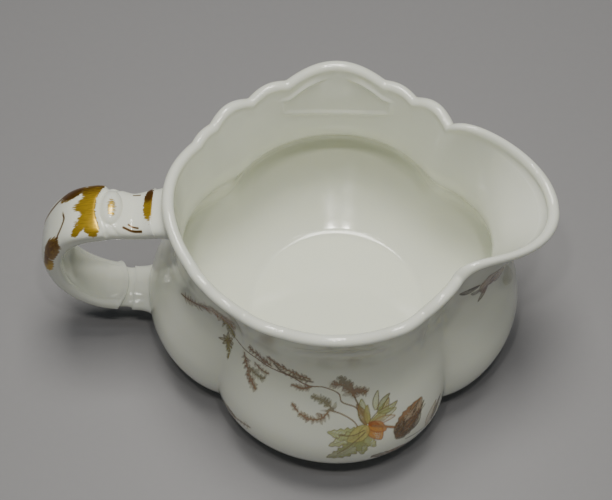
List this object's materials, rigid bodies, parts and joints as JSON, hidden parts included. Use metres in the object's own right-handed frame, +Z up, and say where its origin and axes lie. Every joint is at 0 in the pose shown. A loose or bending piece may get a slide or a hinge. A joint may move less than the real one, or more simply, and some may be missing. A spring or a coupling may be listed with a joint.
{
  "type": "porcelain cream jug",
  "caption": "Small quatrefoil porcelain cream jug with a scalloped flaring rim, a broad pouring lip and a gilded scroll handle.",
  "frame": {"origin": "middle of the footprint on the table, under the middle of the jug's whole length from handle to spout", "axes": "+X towards the pouring lip, the handle at -X; +Z up; the XZ plane is the mirror plane"},
  "size_m": [0.1474, 0.1126, 0.0762],
  "materials": {
    "glazed_porcelain": "clear glossy glaze over white hard-paste porcelain, faintly greenish where it pools, with an autumn flower transfer",
    "foot_porcelain": "thin glaze, wiped back to satin bare porcelain on the resting edge",
    "handle_porcelain": "clear glossy glaze, with rubbed patches of brushed gilding"
  },
  "bodies": {
    "root": {"jug_body": "glazed_porcelain", "foot_ring": "foot_porcelain", "handle": "handle_porcelain", "upper_luting_joint": "handle_porcelain", "lower_luting_joint": "handle_porcelain"}
  },
  "joints": []
}
